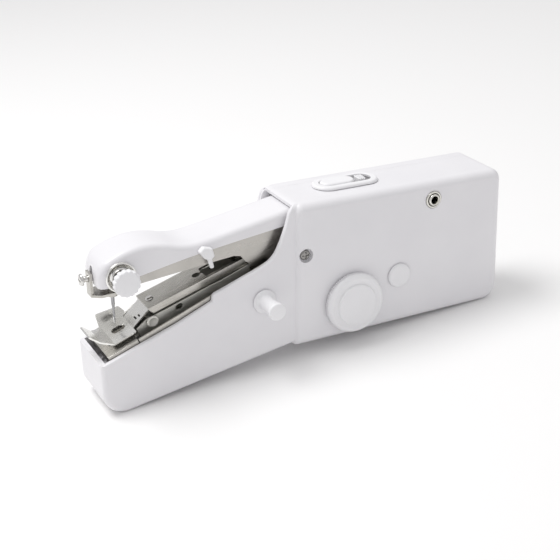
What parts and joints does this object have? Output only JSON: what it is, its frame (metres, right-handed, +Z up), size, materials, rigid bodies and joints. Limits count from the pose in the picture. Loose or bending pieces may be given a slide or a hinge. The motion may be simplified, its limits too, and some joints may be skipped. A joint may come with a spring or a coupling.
{
  "type": "handheld sewing machine",
  "caption": "Hand-held sewing machine: stapler-shaped needle arm over an open lower jaw with presser foot, on a rectangular battery handle with handwheel, spool pin and top switch.",
  "frame": {"origin": "centre of the footprint, on the table the machine stands on", "axes": "+X along the machine from nose to handle end, +Y from the handwheel's face to the back, +Z up"},
  "size_m": [0.2108, 0.0476, 0.0768],
  "materials": {
    "white_plastic": "satin moulded",
    "pressed_steel": "nickel-plated pressed sheet",
    "bright_steel": "polished",
    "dark_steel": "oiled dark steel",
    "chrome_ring": "bright nickel",
    "brass": "machined",
    "gear_nylon": "natural nylon",
    "black_plastic": "moulded black",
    "battery_sleeve": "plain dark sleeve over a metal can"
  },
  "bodies": {
    "machine": {"front_housing": "white_plastic", "rear_cover": "white_plastic", "arm_pivot_screw": "pressed_steel", "rear_screw_1": "pressed_steel", "rear_screw_2": "pressed_steel", "rear_screw_3": "pressed_steel", "rear_screw_4": "pressed_steel", "base_channel": "pressed_steel", "looper_frame": "pressed_steel", "needle_plate": "pressed_steel", "looper_rivet": "pressed_steel", "presser_pivot_pin": "bright_steel", "arm_pivot_sleeve": "brass", "motor": "pressed_steel", "gear_plate": "dark_steel", "switch_bezel": "white_plastic", "switch_body": "black_plastic", "button_spring": "bright_steel", "jack_barrel": "bright_steel", "jack_nut": "chrome_ring", "jack_body": "black_plastic", "battery_1": "battery_sleeve", "battery_2": "battery_sleeve", "battery_3": "battery_sleeve", "battery_4": "battery_sleeve", "battery_contact_inner": "bright_steel", "battery_contact_outer": "bright_steel", "spool_pin": "white_plastic"},
    "arm": {"arm_cover": "white_plastic", "arm_channel": "pressed_steel", "drive_yoke": "pressed_steel", "needle_clamp": "pressed_steel", "needle": "bright_steel", "tension_collar": "bright_steel", "tension_stud": "bright_steel", "tension_discs": "bright_steel", "tension_spring": "bright_steel", "thread_guide": "white_plastic"},
    "tension_nut": {"tension_knob": "white_plastic"},
    "needle_set_screw": {"needle_screw": "bright_steel"},
    "presser": {"presser_lever": "pressed_steel", "presser_foot": "bright_steel", "foot_rivet": "pressed_steel"},
    "looper_hook": {"looper": "bright_steel"},
    "feeder": {"feed_dog": "dark_steel"},
    "wheel": {"handwheel": "white_plastic", "main_shaft": "bright_steel", "main_gear": "gear_nylon", "crank_disc": "dark_steel"},
    "idler": {"idler_gear": "gear_nylon"},
    "rotor": {"motor_pinion": "brass", "motor_shaft": "bright_steel"},
    "winder": {"winder_gear": "gear_nylon", "winder_shaft": "bright_steel", "winder_cap": "white_plastic"},
    "switch_button": {"power_button": "white_plastic"},
    "lock": {"lock_slider": "white_plastic"},
    "door": {"battery_door": "white_plastic"},
    "cap": {"spool_cap": "white_plastic"}
  },
  "joints": [
    {"name": "arm_swing", "type": "hinge", "parent": "machine", "child": "arm", "pos_m": [-0.00197, 0.00635, 0.05117], "axis": [0, 1, 0], "range_deg": [-9, 0]},
    {"name": "tension_turn", "type": "hinge", "parent": "arm", "child": "tension_nut", "pos_m": [-0.08798, -0.01345, 0.06327], "axis": [0, 1, 0], "range_deg": [-360, 360]},
    {"name": "needle_screw_turn", "type": "hinge", "parent": "arm", "child": "needle_set_screw", "pos_m": [-0.10164, 0.00635, 0.06112], "axis": [-0.998, 0, 0.0624], "range_deg": [-180, 180]},
    {"name": "presser_lift", "type": "hinge", "parent": "machine", "child": "presser", "pos_m": [-0.02491, 0.00635, 0.048], "axis": [0, 1, 0], "range_deg": [0, 1.8]},
    {"name": "looper_swing", "type": "hinge", "parent": "machine", "child": "looper_hook", "pos_m": [-0.0758, 0.00635, 0.03706], "axis": [0, 1, 0], "range_deg": [-8, 0]},
    {"name": "feed_stroke", "type": "slide", "parent": "machine", "child": "feeder", "axis": [0.9577, 0, 0.2877], "range_m": [-0.0025, 0]},
    {"name": "handwheel_turn", "type": "hinge", "parent": "machine", "child": "wheel", "pos_m": [0.01976, 0.00635, 0.02216], "axis": [0, 1, 0], "continuous": true},
    {"name": "idler_turn", "type": "hinge", "parent": "machine", "child": "idler", "pos_m": [0.03137, 0.00635, 0.03845], "axis": [0, 1, 0], "continuous": true},
    {"name": "motor_turn", "type": "hinge", "parent": "machine", "child": "rotor", "pos_m": [0.03242, 0.00635, 0.05521], "axis": [0, 1, 0], "continuous": true},
    {"name": "winder_turn", "type": "hinge", "parent": "machine", "child": "winder", "pos_m": [0.04558, 0.00635, 0.02806], "axis": [0, 1, 0], "continuous": true},
    {"name": "power_press", "type": "slide", "parent": "machine", "child": "switch_button", "axis": [0.0821, 0, 0.9966], "range_m": [-0.0012, 0], "stiffness_N_per_m": 800, "deforming": ["button_spring"]},
    {"name": "lock_slide", "type": "slide", "parent": "machine", "child": "lock", "axis": [0.9966, 0, -0.0821], "range_m": [-0.001, 0.0016]},
    {"name": "door_pull", "type": "slide", "parent": "machine", "child": "door", "axis": [0, 1, 0], "range_m": [0, 0.008]},
    {"name": "spool_cap_pull", "type": "slide", "parent": "machine", "child": "cap", "axis": [0, -1, 0], "range_m": [0, 0.006]}
  ],
  "couplings": [
    {"joint": "looper_swing", "follows": "arm_swing", "ratio": 0.85},
    {"joint": "feed_stroke", "follows": "arm_swing", "m_per_rad": 0.015279},
    {"joint": "idler_turn", "follows": "handwheel_turn", "ratio": -3.1667},
    {"joint": "motor_turn", "follows": "handwheel_turn", "ratio": 10.133},
    {"joint": "winder_turn", "follows": "handwheel_turn", "ratio": 8.4444}
  ]
}
